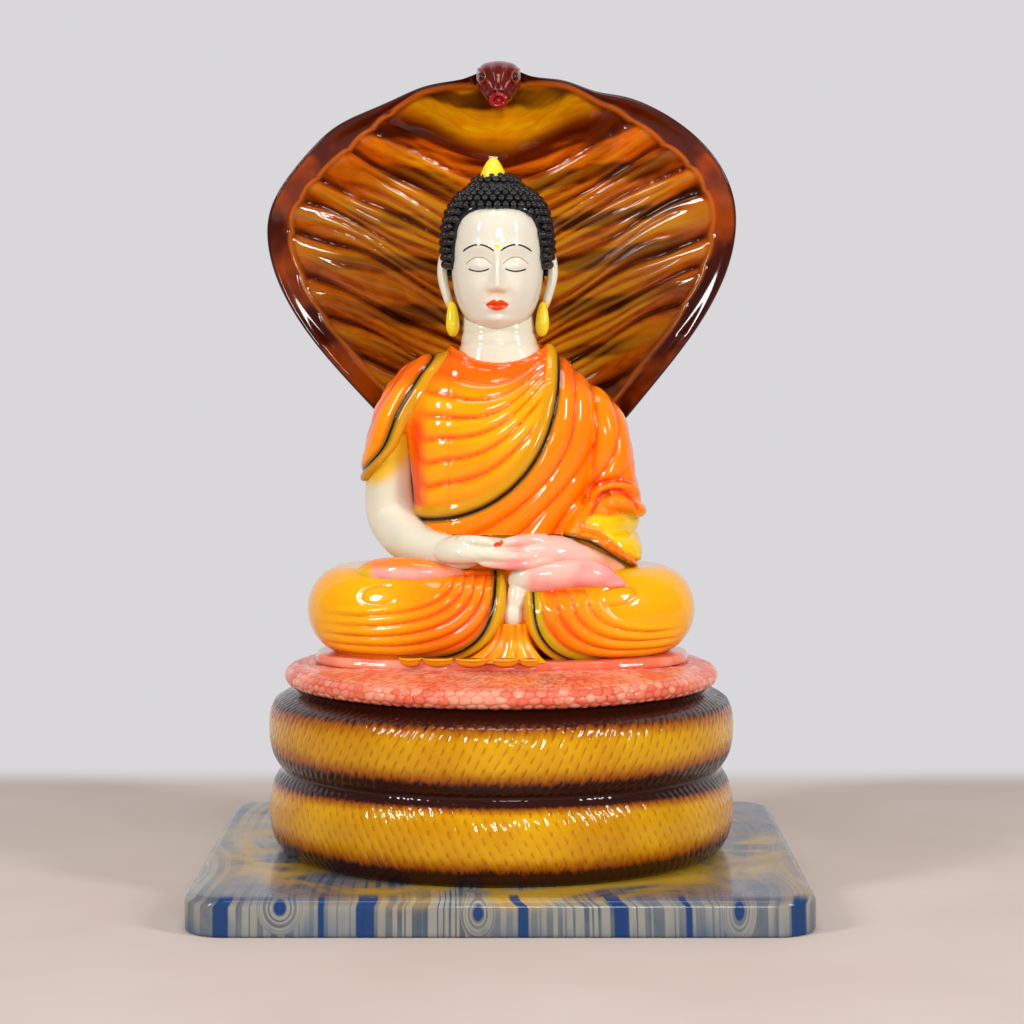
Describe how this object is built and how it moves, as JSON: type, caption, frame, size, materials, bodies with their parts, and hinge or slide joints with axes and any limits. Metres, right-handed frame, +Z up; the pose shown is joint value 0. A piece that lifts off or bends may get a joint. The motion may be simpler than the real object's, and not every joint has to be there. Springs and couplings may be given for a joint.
{
  "type": "naga buddha statue",
  "caption": "Painted resin statue of a seated, meditating buddha on the stacked coils of a serpent, whose wide ribbed hood rises behind, all on a marbled rounded slab.",
  "frame": {"origin": "middle of the slab's underside, where the statue rests", "axes": "+Z up, -Y the way the figure faces, +X towards the figure's left hand"},
  "size_m": [0.243, 0.224, 0.3437],
  "materials": {
    "marbled_slab": "polished",
    "golden_scales": "gloss",
    "coral_scales": "gloss",
    "painted_figure": "gloss",
    "amber_hood": "gloss"
  },
  "bodies": {
    "root": {"base_slab": "marbled_slab", "naga_coils": "golden_scales", "seat_disc": "coral_scales", "buddha_figure": "painted_figure", "cobra_hood": "amber_hood"}
  },
  "joints": []
}
